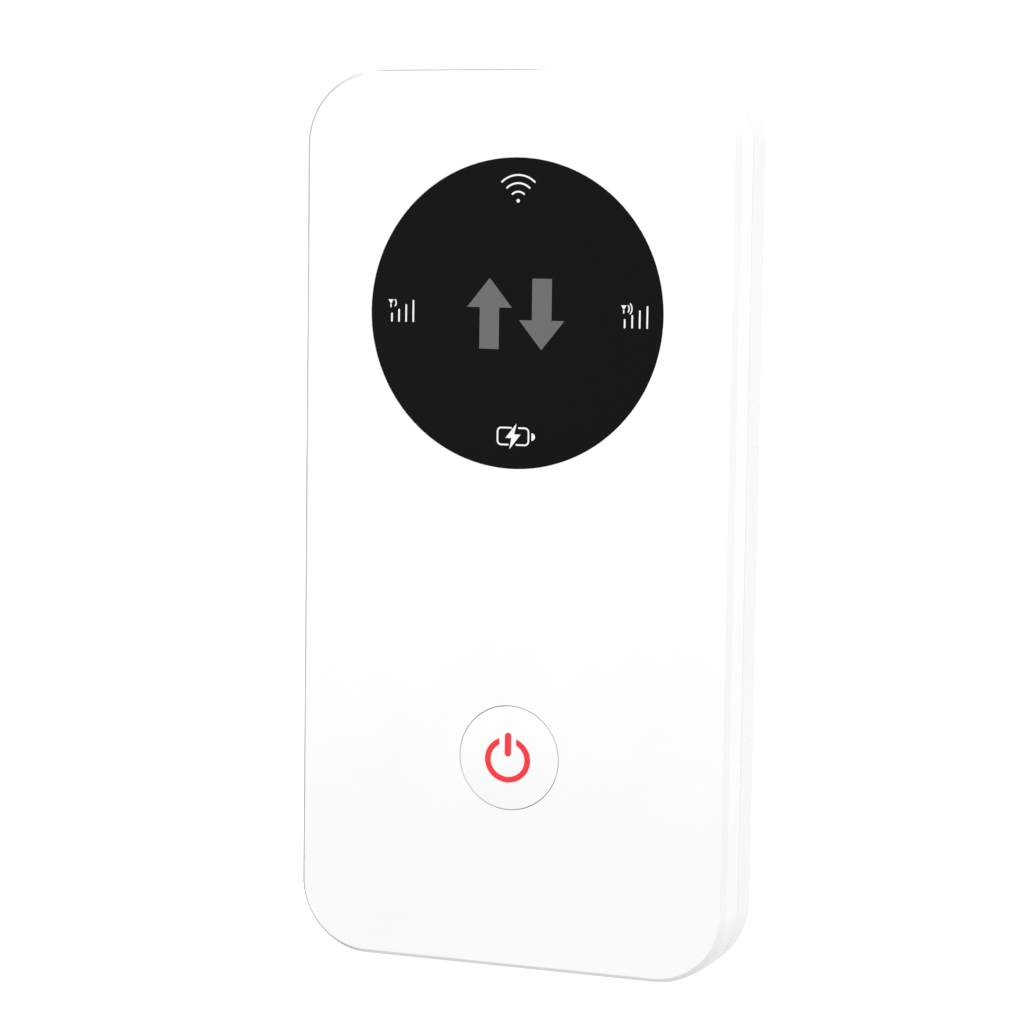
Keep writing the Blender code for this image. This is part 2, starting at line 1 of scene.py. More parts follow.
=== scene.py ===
"""The looks of the mobile hotspot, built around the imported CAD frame.

Lengths are written in millimetres and turned into metres by MM. The face looks along -Y.
"""

import json
import math

import bmesh
import bpy
from mathutils import Matrix, Vector


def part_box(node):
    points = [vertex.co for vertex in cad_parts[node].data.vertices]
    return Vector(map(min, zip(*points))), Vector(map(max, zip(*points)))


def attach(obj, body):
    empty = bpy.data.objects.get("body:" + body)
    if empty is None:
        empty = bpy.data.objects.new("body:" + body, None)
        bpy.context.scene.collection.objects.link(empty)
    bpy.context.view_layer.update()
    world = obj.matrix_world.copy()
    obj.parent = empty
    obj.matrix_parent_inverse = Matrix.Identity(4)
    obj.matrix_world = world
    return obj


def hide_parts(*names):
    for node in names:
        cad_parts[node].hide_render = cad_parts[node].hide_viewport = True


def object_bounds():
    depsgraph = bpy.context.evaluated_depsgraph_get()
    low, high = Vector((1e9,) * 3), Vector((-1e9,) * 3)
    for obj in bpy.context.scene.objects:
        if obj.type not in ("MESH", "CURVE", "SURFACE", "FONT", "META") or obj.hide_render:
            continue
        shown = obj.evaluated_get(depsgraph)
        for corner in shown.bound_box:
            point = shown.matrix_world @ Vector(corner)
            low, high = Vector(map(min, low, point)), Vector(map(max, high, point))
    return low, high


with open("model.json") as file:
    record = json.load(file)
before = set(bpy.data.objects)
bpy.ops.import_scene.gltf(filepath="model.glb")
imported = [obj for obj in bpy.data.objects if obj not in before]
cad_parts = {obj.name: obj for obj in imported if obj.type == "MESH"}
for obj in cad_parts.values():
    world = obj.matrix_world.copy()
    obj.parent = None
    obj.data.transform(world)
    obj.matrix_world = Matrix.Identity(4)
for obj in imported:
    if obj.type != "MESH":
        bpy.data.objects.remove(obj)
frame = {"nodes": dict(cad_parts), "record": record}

MM = 0.001
CAD_BOX = [list(corner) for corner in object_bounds()]


def node_box(node):
    """The CAD node's lowest and highest corner, in millimetres."""
    low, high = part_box(node)
    return low / MM, high / MM


# ---------------------------------------------------------------- sizes from the frame
CASE_LOW, CASE_HIGH = (Vector(corner) / MM for corner in CAD_BOX)
HEIGHT = CASE_HIGH.z
WIDTH = CASE_HIGH.x - CASE_LOW.x
FACE_Y = CASE_LOW.y
BACK_Y = node_box("back_shell")[1].y
COVER_RIM_Y = node_box("front_cover")[1].y
WINDOW_LOW, WINDOW_HIGH = node_box("display_window")
WINDOW_RADIUS = (WINDOW_HIGH.x - WINDOW_LOW.x) / 2
WINDOW_Z = (WINDOW_LOW.z + WINDOW_HIGH.z) / 2
BUTTON_LOW, BUTTON_HIGH = node_box("power_button")
BUTTON_Z = (BUTTON_LOW.z + BUTTON_HIGH.z) / 2
BUTTON_FLANGE = (BUTTON_HIGH.x - BUTTON_LOW.x) / 2

# ---------------------------------------------------------------- sizes that the frame doesn't give
CORNER_RADIUS = 12.0
CORNER_STEPS = 40
PARTING_Y = FACE_Y + 4.4
VISIBLE_GAP = 0.06
EDGE_INSET = 2.0
EDGE_DEPTH = 3.5
EDGE_STEPS = 12
COVER_INSIDE_Y = FACE_Y + 1.6
SHELL_INSIDE_Y = BACK_Y - 1.5
WALL = 1.85
TONGUE_OUTSIDE = 1.15
TONGUE_HEIGHT = 1.2
BUTTON_RADIUS = BUTTON_FLANGE - 1.1
BUTTON_GAP = 0.11
LIGHT_HOLE_RADIUS = 22.4
FOOT_COUNT = 4
FOOT_RADIUS = 4.0
SCREW_HEAD_BORE = 2.2
PORT_Y = 0.2
RESET_X = 15.0
RESET_RADIUS = 0.6
ROUND_SLOT = 0.001
PRINT_HEIGHT = 0.03
PRINT_DEPTH = 0.02
ICON_SHIFT = 0.38
ICON_STROKE = 0.27
MOUTH_RISE = 0.001
OVERCUT = 1.0
FACE_LIP = 0.09
WINDOW_GAP = 0.03
WINDOW_SEAT_Y = FACE_Y + 1.15

# ---------------------------------------------------------------- camera and light
CAMERA_PLACE = (163.1, -450.4, 117.4)
CAMERA_YAW = 20.24
CAMERA_PITCH = -5.32
CAMERA_ROLL = 0.80
CAMERA_LENS = 106.0
WORLD_LIGHT = 1.147
WORLD_BELOW = 0.52


# ---------------------------------------------------------------- outlines
def arc(centre, radius, start, end, steps):
    """Points of an arc in the plane, angles in degrees."""
    points = []
    for step in range(steps + 1):
        angle = math.radians(start + (end - start) * step / steps)
        points.append((centre[0] + radius * math.cos(angle), centre[1] + radius * math.sin(angle)))
    return points


def rounded(points, steps=5):
    """A 2D path whose corners are rounded: each point is (a, b, radius)."""
    path = []
    for index, (a, b, radius) in enumerate(points):
        here = Vector((a, b))
        if radius == 0 or index in (0, len(points) - 1):
            path.append((a, b))
            continue
        to_last = (Vector(points[index - 1][:2]) - here).normalized()
        to_next = (Vector(points[index + 1][:2]) - here).normalized()
        half = to_last.angle(to_next) / 2
        reach = radius / math.tan(half)
        centre = here + (to_last + to_next).normalized() * (radius / math.sin(half))
        first = here + to_last * reach - centre
        last = here + to_next * reach - centre
        turn = first.angle_signed(last)
        for step in range(steps + 1):
            spoke = first.copy()
            spoke.rotate(Matrix.Rotation(-turn * step / steps, 2))
            path.append(tuple(centre + spoke))
    return path


def case_outline(inset, y, steps=CORNER_STEPS):
    """Points around the case's rounded outline, moved in by inset, at one depth."""
    radius = CORNER_RADIUS - inset
    middle_x = WIDTH / 2 - CORNER_RADIUS
    middle_z = HEIGHT / 2 - CORNER_RADIUS
    points = []
    for quarter, (side_x, side_z) in enumerate(((1, 1), (-1, 1), (-1, -1), (1, -1))):
        centre = (side_x * middle_x, HEIGHT / 2 + side_z * middle_z)
        for x, z in arc(centre, radius, 90 * quarter, 90 * (quarter + 1), steps):
            points.append((x, y, z))
    return points


def stadium(half_length, half_width, steps=12):
    """The outline of a slot with round ends, about the origin."""
    reach = half_length - half_width
    right = arc((reach, 0), half_width, -90, 90, steps)
    left = arc((-reach, 0), half_width, 90, 270, steps)
    return right + left


def rounded_rectangle(half_a, half_b, radius, steps=8):
    points = []
    for quarter, (side_a, side_b) in enumerate(((1, 1), (-1, 1), (-1, -1), (1, -1))):
        centre = (side_a * (half_a - radius), side_b * (half_b - radius))
        points += arc(centre, radius, 90 * quarter, 90 * (quarter + 1), steps)
    return points


def quarter_round(radius, steps=4):
    """Points of the rounded lip at a hole's mouth: how far in and how far down, after the first."""
    points = []
    for step in range(1, steps + 1):
        angle = math.radians(90 * step / steps)
        points.append((radius * math.sin(angle), radius * (1 - math.cos(angle))))
    return points


def stroke(path, width, steps=8):
    """The outline of a pen line of that width with round ends, along a 2D path."""
    half = width / 2
    line = [Vector(p) for p in path]
    left, right = [], []
    for index, point in enumerate(line):
        before = line[max(index - 1, 0)]
        after = line[min(index + 1, len(line) - 1)]
        along = (after - before).normalized()
        side = Vector((-along.y, along.x)) * half
        left.append(tuple(point + side))
        right.append(tuple(point - side))
    end_angle = math.degrees(math.atan2(line[-1].y - line[-2].y, line[-1].x - line[-2].x))
    start_angle = math.degrees(math.atan2(line[1].y - line[0].y, line[1].x - line[0].x))
    end_cap = arc(line[-1], half, end_angle + 90, end_angle - 90, steps)[1:-1]
    start_cap = arc(line[0], half, start_angle - 90, start_angle - 270, steps)[1:-1]
    return left + end_cap + right[::-1] + start_cap


# ---------------------------------------------------------------- meshes
def to_object(name, bm, smooth_angle=30):
    mesh = bpy.data.meshes.new(name)
    bmesh.ops.recalc_face_normals(bm, faces=bm.faces)
    bm.to_mesh(mesh)
    bm.free()
    mesh.shade_smooth()
    mesh.set_sharp_from_angle(angle=math.radians(smooth_angle))
    obj = bpy.data.objects.new(name, mesh)
    bpy.context.scene.collection.objects.link(obj)
    return obj


def add_loft(bm, rings):
    """A closed skin through rings of equally many points, with flat ends."""
    loops = [[bm.verts.new(Vector(point) * MM) for point in ring] for ring in rings]
    count = len(loops[0])
    for loop, following in zip(loops, loops[1:]):
        for i in range(count):
            j = (i + 1) % count
            bm.faces.new((loop[i], loop[j], following[j], following[i]))
    bm.faces.new(loops[0])
    bm.faces.new(loops[-1][::-1])


def loft(name, rings, smooth_angle=30):
    bm = bmesh.new()
    add_loft(bm, rings)
    return to_object(name, bm, smooth_angle)


def along_y(outline, y):
    return [(x, y, z) for x, z in outline]


def along_z(outline, z, centre):
    return [(centre[0] + x, centre[1] + y, z) for x, y in outline]


def turned(name, profile, x, z, sides=128, smooth_angle=30):
    """A closed piece turned about an axis along Y, from radius and Y pairs that start and end at radius 0."""
    bm = bmesh.new()
    rows = []
    for radius, y in profile:
        if radius < 1e-6:
            rows.append([bm.verts.new(Vector((x, y, z)) * MM)])
            continue
        circle = arc((x, z), radius, 0, 360 * (sides - 1) / sides, sides - 1)
        rows.append([bm.verts.new(Vector((px, y, pz)) * MM) for px, pz in circle])
    for row, following in zip(rows, rows[1:]):
        for i in range(sides):
            j = (i + 1) % sides
            near = (row[i % len(row)], row[j % len(row)])
            far = (following[j % len(following)], following[i % len(following)])
            unique = list(dict.fromkeys(near + far))
            if len(unique) > 2:
                bm.faces.new(unique)
    return to_object(name, bm, smooth_angle)


def prism(bm, outline, y_front, y_back, centre=(0, 0)):
    """A flat print: a 2D outline about a centre on the face, given a thickness."""
    shifted = [(centre[0] + x, centre[1] + z) for x, z in outline]
    add_loft(bm, [along_y(shifted, y_front), along_y(shifted, y_back)])


def apply_modifiers(obj):
    depsgraph = bpy.context.evaluated_depsgraph_get()
    mesh = bpy.data.meshes.new_from_object(obj.evaluated_get(depsgraph))
    old = obj.data
    obj.modifiers.clear()
    obj.data = mesh
    bpy.data.meshes.remove(old)


def cut(obj, tools, smooth_angle=30):
    """Cuts the tools out of the piece and removes them, then shades flat faces flat."""
    for tool in tools:
        modifier = obj.modifiers.new(tool.name, "BOOLEAN")
        modifier.operation = "DIFFERENCE"
        modifier.solver = "EXACT"
        modifier.object = tool
    apply_modifiers(obj)
    for tool in tools:
        mesh = tool.data
        bpy.data.objects.remove(tool)
        bpy.data.meshes.remove(mesh)
    obj.data.shade_smooth()
    obj.data.set_sharp_from_angle(angle=math.radians(smooth_angle))
    flatten = obj.modifiers.new("flat_faces", "WEIGHTED_NORMAL")
    flatten.keep_sharp = True
    flatten.weight = 100
    apply_modifiers(obj)


# ---------------------------------------------------------------- materials
def new_material(name, color, roughness, metallic=0.0, specular=0.5):
    material = bpy.data.materials.new(name)
    material.use_nodes = True
    shader = material.node_tree.nodes["Principled BSDF"]
    shader.inputs["Base Color"].default_value = (*color, 1.0)
    shader.inputs["Roughness"].default_value = roughness
    shader.inputs["Metallic"].default_value = metallic
    shader.inputs["Specular IOR Level"].default_value = specular
    material.diffuse_color = (*color, 1.0)
    return material


def node(material, kind, **settings):
    made = material.node_tree.nodes.new(kind)
    for key, value in settings.items():
        if key in made.inputs:
            made.inputs[key].default_value = value
        else:
            setattr(made, key, value)
    return made


def link(material, output, target):
    material.node_tree.links.new(output, target)


def shader_of(material):
    return material.node_tree.nodes["Principled BSDF"]


def object_noise(material, scale, detail=4.0, stretch=None):
    """Noise fixed to the piece, at so many cells a metre, and stretched along an axis where asked."""
    place = node(material, "ShaderNodeTexCoord")
    noise = node(material, "ShaderNodeTexNoise", Scale=scale, Detail=detail)
    if stretch is None:
        link(material, place.outputs["Object"], noise.inputs["Vector"])
        return noise
    mapping = node(material, "ShaderNodeMapping")
    mapping.inputs["Scale"].default_value = stretch
    link(material, place.outputs["Object"], mapping.inputs["Vector"])
    link(material, mapping.outputs["Vector"], noise.inputs["Vector"])
    return noise


def vary_roughness(material, noise, low, high):
    spread = node(material, "ShaderNodeMapRange")
    spread.inputs["To Min"].default_value = low
    spread.inputs["To Max"].default_value = high
    link(material, noise.outputs["Fac"], spread.inputs["Value"])
    link(material, spread.outputs["Result"], shader_of(material).inputs["Roughness"])


def vary_color(material, noise, first, second, low=0.35, high=0.65):
    ramp = node(material, "ShaderNodeValToRGB")
    ramp.color_ramp.elements[0].position = low
    ramp.color_ramp.elements[0].color = (*first, 1.0)
    ramp.color_ramp.elements[1].position = high
    ramp.color_ramp.elements[1].color = (*second, 1.0)
    link(material, noise.outputs["Fac"], ramp.inputs["Fac"])
    link(material, ramp.outputs["Color"], shader_of(material).inputs["Base Color"])


def bump(material, noise, strength, distance):
    raised = node(material, "ShaderNodeBump", Strength=strength, Distance=distance)
    link(material, noise.outputs["Fac"], raised.inputs["Height"])
    link(material, raised.outputs["Normal"], shader_of(material).inputs["Normal"])


def moulded(name, color, roughness, grain, depth, specular=0.5):
    """Moulded plastic: a fine grain in the surface and a slow drift in gloss and shade."""
    material = new_material(name, color, roughness, specular=specular)
    drift = object_noise(material, 60.0)
    darker = tuple(c * 0.985 for c in color)
    vary_color(material, drift, darker, color)
    vary_roughness(material, drift, roughness * 0.9, roughness * 1.1)
    bump(material, object_noise(material, grain, detail=2.0), 0.25, depth)
    return material


def printed(name, color, roughness=0.45):
    """Ink with the faint mottle of a screen print."""
    material = new_material(name, color, roughness, specular=0.3)
    mottle = object_noise(material, 2500.0)
    vary_color(material, mottle, tuple(c * 0.95 for c in color), color)
    vary_roughness(material, mottle, roughness * 0.85, roughness * 1.15)
    return material


def sheet_metal(name, color, roughness, stretch=(1.0, 1.0, 12.0)):
    """Rolled sheet: fine streaks in its gloss along one direction."""
    material = new_material(name, color, roughness, metallic=1.0)
    streaks = object_noise(material, 900.0, stretch=stretch)
    vary_roughness(material, streaks, roughness * 0.75, roughness * 1.3)
    vary_color(material, streaks, tuple(c * 0.9 for c in color), color)
    bump(material, streaks, 0.15, 0.00002)
    return material


def window_glass_material():
    """Black-backed glass: deep, smooth, with the faintest haze of handling."""
    color = (0.0008, 0.0008, 0.0008)
    material = new_material("window_black_glass", color, 0.06, specular=0.10)
    haze = object_noise(material, 45.0, detail=6.0)
    vary_roughness(material, haze, 0.05, 0.10)
    vary_color(material, haze, tuple(c * 0.93 for c in color), color)
    return material


def circuit_board_material():
    """Green solder mask over copper, with a grid of routed tracks."""
    material = new_material("circuit_board", (0.015, 0.13, 0.06), 0.38)
    place = node(material, "ShaderNodeTexCoord")
    tracks = node(material, "ShaderNodeTexVoronoi", Scale=420.0)
    tracks.distance = "MANHATTAN"
    tracks.feature = "F1"
    link(material, place.outputs["Object"], tracks.inputs["Vector"])
    ramp = node(material, "ShaderNodeValToRGB")
    ramp.color_ramp.interpolation = "CONSTANT"
    ramp.color_ramp.elements[0].color = (0.010, 0.095, 0.045, 1.0)
    ramp.color_ramp.elements[1].position = 0.55
    ramp.color_ramp.elements[1].color = (0.028, 0.20, 0.09, 1.0)
    link(material, tracks.outputs["Distance"], ramp.inputs["Fac"])
    link(material, ramp.outputs["Color"], shader_of(material).inputs["Base Color"])
    return material


WHITE = (0.955, 0.957, 0.962)
MATERIALS = {
    "front_cover": moulded("white_gloss_cover", WHITE, 0.20, 4000.0, 0.000003),
    # The back shell's white is set darker than the cover's: its own white plus painted shade for the greyer
    # side wall of the shell.
    "back_shell": moulded("white_satin_shell_painted_shade", (0.903, 0.905, 0.912), 0.27, 3000.0, 0.000006),
    "power_button": moulded("white_gloss_button", WHITE, 0.20, 4000.0, 0.000003),
    "sim_tray": moulded("white_satin_tray", (0.94, 0.942, 0.948), 0.36, 3000.0, 0.000008),
    "display_window": window_glass_material(),
    "adhesive": moulded("black_foam", (0.02, 0.02, 0.02), 0.8, 5000.0, 0.00003),
    "diffuser": moulded("milky_film", (0.80, 0.80, 0.78), 0.5, 3000.0, 0.00001),
    "lamp": moulded("lamp_epoxy", (0.92, 0.88, 0.62), 0.25, 2000.0, 0.00001),
    "screw": sheet_metal("plated_steel", (0.42, 0.43, 0.44), 0.32),
    "foot": moulded("grey_rubber", (0.50, 0.51, 0.52), 0.75, 2600.0, 0.00004, specular=0.3),
    "antenna": sheet_metal("copper_strip", (0.72, 0.42, 0.24), 0.35),
    "circuit_board": circuit_board_material(),
    "chip": moulded("chip_compound", (0.03, 0.03, 0.033), 0.55, 4500.0, 0.00002),
    "shield": sheet_metal("tinned_steel", (0.62, 0.63, 0.64), 0.33),
    "thermal_pad": moulded("thermal_silicone", (0.42, 0.48, 0.56), 0.8, 2500.0, 0.00003),
    "heat_spreader": sheet_metal("rolled_aluminium", (0.72, 0.73, 0.74), 0.38, stretch=(12.0, 1.0, 1.0)),
    "battery": sheet_metal("pouch_foil", (0.55, 0.56, 0.58), 0.42, stretch=(1.0, 1.0, 3.0)),
    "connector": moulded("ivory_nylon", (0.75, 0.71, 0.60), 0.5, 2600.0, 0.00001),
    "wire_red": moulded("red_insulation", (0.50, 0.02, 0.02), 0.42, 3000.0, 0.00001),
    "wire_black": moulded("black_insulation", (0.02, 0.02, 0.02), 0.42, 3000.0, 0.00001),
    "sim_card": moulded("card_plastic", (0.80, 0.80, 0.81), 0.4, 3500.0, 0.00001),
    "label": printed("label_paper", (0.80, 0.80, 0.795), 0.6),
    "icon_white": printed("icon_white_ink", (0.93, 0.93, 0.93)),
    "icon_grey": printed("icon_grey_ink", (0.138, 0.139, 0.145)),
    "icon_red": printed("icon_red_ink", (0.928, 0.034, 0.045)),
    "gold": sheet_metal("gold_contact", (0.83, 0.62, 0.26), 0.28),
}


def dress(obj, slot, body="case", stands_for=(), material=None):
    """Gives a new piece its finish and the body that it rides on, and hides the CAD parts that it stands for.
    """
    obj.data.materials.clear()
    obj.data.materials.append(MATERIALS[material or slot])
    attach(obj, body)
    if stands_for:
        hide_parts(*stands_for)
    return obj


# ---------------------------------------------------------------- case
def face_mouth(radius):
    """The first part of a round cutter's profile: down to the face and over the hole's rounded lip."""
    top = FACE_Y - MOUTH_RISE
    edge = radius + FACE_LIP
    lip = [(edge - inward, top + down) for inward, down in quarter_round(FACE_LIP)]
    return [(0.0, FACE_Y - OVERCUT), (edge, FACE_Y - OVERCUT), (edge, top), *lip]


def front_cover():
    rebate = TONGUE_OUTSIDE - 0.15
    rebate_y = PARTING_Y - TONGUE_HEIGHT - 0.2
    inside = WALL + 0.1
    section = rounded(
        [
            (3.0, FACE_Y, 0),
            (1.22, FACE_Y, 0.18),
            (0.43, FACE_Y + 1.25, 0.22),
            (0.03, COVER_RIM_Y, 0.05),
            (rebate, COVER_RIM_Y, 0),
            (rebate, rebate_y, 0),
            (inside, rebate_y, 0.2),
            (inside, COVER_INSIDE_Y, 0.5),
            (4.0, COVER_INSIDE_Y, 0),
        ]
    )
    cover = loft("front_cover_skin", [case_outline(inset, y) for inset, y in section])
    window_hole = WINDOW_RADIUS + WINDOW_GAP
    window_recess = [
        *face_mouth(window_hole),
        (window_hole, WINDOW_SEAT_Y),
        (LIGHT_HOLE_RADIUS, WINDOW_SEAT_Y),
        (LIGHT_HOLE_RADIUS, COVER_INSIDE_Y + OVERCUT),
        (0.0, COVER_INSIDE_Y + OVERCUT),
    ]
    hole = BUTTON_RADIUS + BUTTON_GAP
    button_hole = [
        *face_mouth(hole),
        (hole, COVER_INSIDE_Y + OVERCUT),
        (0.0, COVER_INSIDE_Y + OVERCUT),
    ]
    tools = [
        turned("window_cutter", window_recess, 0, WINDOW_Z, sides=192),
        turned("button_cutter", button_hole, 0, BUTTON_Z, sides=144),
    ]
    cut(cover, tools)
    dress(cover, "front_cover", stands_for=["front_cover"])


def slot_cutter(name, half_length, half_width, centre, z_mouth, z_end, lip):
    """A cutter for a round-ended slot in the lower or upper wall, its mouth flared by a small lip."""
    outward = 1 if z_mouth > z_end else -1
    mouth = stadium(half_length + lip, half_width + lip)
    rings = [along_z(mouth, z_mouth + outward * rise, centre) for rise in (OVERCUT, MOUTH_RISE)]
    for inward, down in quarter_round(lip):
        outline = stadium(half_length + lip - inward, half_width + lip - inward)
        rings.append(along_z(outline, z_mouth + outward * (MOUTH_RISE - down), centre))
    rings.append(along_z(stadium(half_length, half_width), z_end, centre))
    return loft(name, rings)


def back_shell():
    rear_edge = [
        (EDGE_INSET * (1 - math.sin(angle)), BACK_Y - EDGE_DEPTH * (1 - math.cos(angle)))
        for angle in (math.radians(90 * step / EDGE_STEPS) for step in range(EDGE_STEPS + 1))
    ]
    section = rear_edge + rounded(
        [
            (0.0, BACK_Y - EDGE_DEPTH - 0.5, 0),
            (0.0, COVER_RIM_Y + VISIBLE_GAP, 0.05),
            (TONGUE_OUTSIDE, COVER_RIM_Y + VISIBLE_GAP, 0),
            (TONGUE_OUTSIDE, PARTING_Y - TONGUE_HEIGHT, 0),
            (WALL, PARTING_Y - TONGUE_HEIGHT, 0.2),
            (WALL, SHELL_INSIDE_Y, 0.5),
            (4.0, SHELL_INSIDE_Y, 0),
        ]
    )
    shell = loft("back_shell_skin", [case_outline(inset, y) for inset, y in section])
    tools = []
    for index in range(1, FOOT_COUNT + 1):
        low, high = node_box(f"foot_{index}")
        x, z = (low.x + high.x) / 2, (low.z + high.z) / 2
        floor = low.y - 0.1
        lip = 0.12
        radius = FOOT_RADIUS + 0.08
        edge = radius + lip
        top = BACK_Y + MOUTH_RISE
        recess = [
            (0.0, SHELL_INSIDE_Y - OVERCUT),
            (SCREW_HEAD_BORE, SHELL_INSIDE_Y - OVERCUT),
            (SCREW_HEAD_BORE, floor),
            (radius, floor),
            *[(edge - inward, top - down) for inward, down in reversed(quarter_round(lip))],
            (edge, top),
            (edge, BACK_Y + OVERCUT),
            (0.0, BACK_Y + OVERCUT),
        ]
        tools.append(turned(f"foot_cutter_{index}", recess, x, z, sides=96))
    tray_low, tray_high = node_box("sim_tray")
    tray_centre = ((tray_low.x + tray_high.x) / 2, (tray_low.y + tray_high.y) / 2)
    half_x = (tray_high.x - tray_low.x) / 2 + 0.1
    half_y = (tray_high.y - tray_low.y) / 2 + 0.1
    tools.append(slot_cutter("port_cutter", 4.72, 1.85, (0.0, PORT_Y), 0.0, WALL + 1.5, 0.30))
    tools.append(slot_cutter("tray_cutter", half_x, half_y, tray_centre, HEIGHT, HEIGHT - WALL - 1.5, 0.10))
    reset_centre = (RESET_X, PORT_Y)
    reset_half = RESET_RADIUS + ROUND_SLOT
    tools.append(slot_cutter("reset_cutter", reset_half, RESET_RADIUS, reset_centre, 0.0, WALL + 1.5, 0.15))
    label_low, label_high = node_box("blank_label")
    half_a = (label_high.x - label_low.x) / 2 + 0.15
    half_b = (label_high.z - label_low.z) / 2 + 0.15
    middle = (label_low.z + label_high.z) / 2
    outline = [(a, middle + b) for a, b in rounded_rectangle(half_a, half_b, 1.65)]
    label_rings = [along_y(outline, y) for y in (label_low.y - 0.05, BACK_Y + OVERCUT)]
    tools.append(loft("label_cutter", label_rings))
    cut(shell, tools)
    dress(shell, "back_shell", stands_for=["back_shell"])


# ---------------------------------------------------------------- window and its prints
def window():
    low, high = WINDOW_LOW.y, WINDOW_HIGH.y
    profile = rounded(
        [(0.0, low, 0), (WINDOW_RADIUS, low, 0.10), (WINDOW_RADIUS, high, 0.10), (0.0, high, 0)], steps=4
    )
    glass = turned("window_glass", profile, 0, WINDOW_Z, sides=192)
    dress(glass, "display_window", stands_for=["display_window"])


def print_piece(name, outlines, slot, centre, body="case"):
    """Ink on a surface at the face: each outline becomes a thin closed island."""
    bm = bmesh.new()
    for outline in outlines:
        prism(bm, outline, FACE_Y - PRINT_HEIGHT, FACE_Y + PRINT_DEPTH, centre)
    return dress(to_object(name, bm), slot, body)


def wireless_icon():
    base = (-0.09, 17.57)
    outlines = [arc(base, 0.285, 0, 345, 23)]
    for radius in (1.42, 2.74, 4.0):
        outlines.append(stroke(arc(base, radius, 90 - 43, 90 + 43, 24), ICON_STROKE))
    print_piece("wireless_icon", outlines, "icon_white", (ICON_SHIFT, WINDOW_Z))


def signal_icon(name, left, rise, waves):
    """Four bars with a small mast beside and above the shorter ones."""
    bottom = -1.68
    tops = (-0.52, 0.12, 0.86, 1.56)
    outlines = []
    for index, top in enumerate(tops):
        x = left + 0.6 + 1.215 * index
        outlines.append(stroke([(x, bottom), (x, top)], ICON_STROKE))
    mast_x = left + 0.42
    thin = 0.2
    outlines.append(stroke([(mast_x, 0.55), (mast_x, 1.1)], thin))
    outlines.append([(mast_x - 0.42, 1.72), (mast_x, 0.98), (mast_x + 0.42, 1.72)])
    for wave in range(waves):
        outlines.append(stroke(arc((mast_x + 0.1, 1.2), 0.78 + 0.45 * wave, -38, 38, 10), thin))
    print_piece(name, outlines, "icon_white", (ICON_SHIFT, WINDOW_Z + rise))


def battery_icon():
    left, right = -3.0, 2.17
    low, high = -20.48, -17.82
    pen = 0.26
    round_corner = 0.62
    bolt_x = -0.45
    middle = (low + high) / 2
    left_half = (
        [(bolt_x - 0.80, low)]
        + arc((left + round_corner, low + round_corner), round_corner, 270, 180, 6)
        + arc((left + round_corner, high - round_corner), round_corner, 180, 90, 6)
        + [(bolt_x - 0.30, high)]
    )
    right_half = (
        [(bolt_x + 1.0, high)]
        + arc((right - round_corner, high - round_corner), round_corner, 90, 0, 6)
        + arc((right - round_corner, low + round_corner), round_corner, 0, -90, 6)
        + [(bolt_x + 0.62, low)]
    )
    bolt = [
        (bolt_x + 0.62, middle + 2.05),
        (bolt_x - 1.22, middle - 0.28),
        (bolt_x - 0.22, middle - 0.28),
        (bolt_x - 0.55, middle - 2.05),
        (bolt_x + 1.30, middle + 0.32),
        (bolt_x + 0.24, middle + 0.32),
    ]
    cap = arc((right + 0.49, middle), 0.60, -90, 90, 12)
    outlines = [stroke(left_half, pen), stroke(right_half, pen), bolt, cap]
    print_piece("battery_icon", outlines, "icon_white", (ICON_SHIFT, WINDOW_Z))


def data_arrow(x, up):
    """A block arrow as tall as the centre mark."""
    half_height, half_head, half_shaft, head = 5.55, 3.75, 1.62, 4.6
    sign = 1 if up else -1
    side = [(half_shaft, -half_height), (half_shaft, half_height - head), (half_head, half_height - head)]
    points = side + [(0.0, half_height)] + [(-a, b) for a, b in reversed(side)]
    return [(x + a, sign * b) for a, b in points]


def centre_icon():
    outlines = [data_arrow(-4.35, True), data_arrow(4.35, False)]
    print_piece("data_arrows_icon", outlines, "icon_grey", (0.1, WINDOW_Z))


# ---------------------------------------------------------------- button
def button():
    flange_front = COVER_INSIDE_Y + 0.2
    flange_back = flange_front + 0.6
    stem = 1.6
    profile = rounded(
        [
            (0.0, FACE_Y, 0),
            (BUTTON_RADIUS, FACE_Y, 0.09),
            (BUTTON_RADIUS, flange_front, 0),
            (BUTTON_FLANGE, flange_front, 0.15),
            (BUTTON_FLANGE, flange_back, 0.15),
            (stem, flange_back, 0),
            (stem, BUTTON_HIGH.y, 0.15),
            (0.0, BUTTON_HIGH.y, 0),
        ],
        steps=4,
    )
    cap = turned("button_cap", profile, 0, BUTTON_Z, sides=144)
    dress(cap, "power_button", "power_button", ["power_button"])
    middle, pen, gap = 3.33, 0.95, 1.42
    squash, drop = 0.955, 0.31
    outer, inner = middle + pen / 2, middle - pen / 2
    outer_end = math.degrees(math.asin(gap / outer))
    inner_end = math.degrees(math.asin(gap / inner))
    circle = arc((0, 0), outer, 90 + outer_end, 450 - outer_end, 72) + arc(
        (0, 0), inner, 450 - inner_end, 90 + inner_end, 72
    )
    ring = [(x, squash * z - drop) for x, z in circle]
    bar = stroke([(0.04, 0.74), (0.04, 3.5)], 1.07)
    print_piece("power_icon", [ring, bar], "icon_red", (-0.2, BUTTON_Z), "power_button")


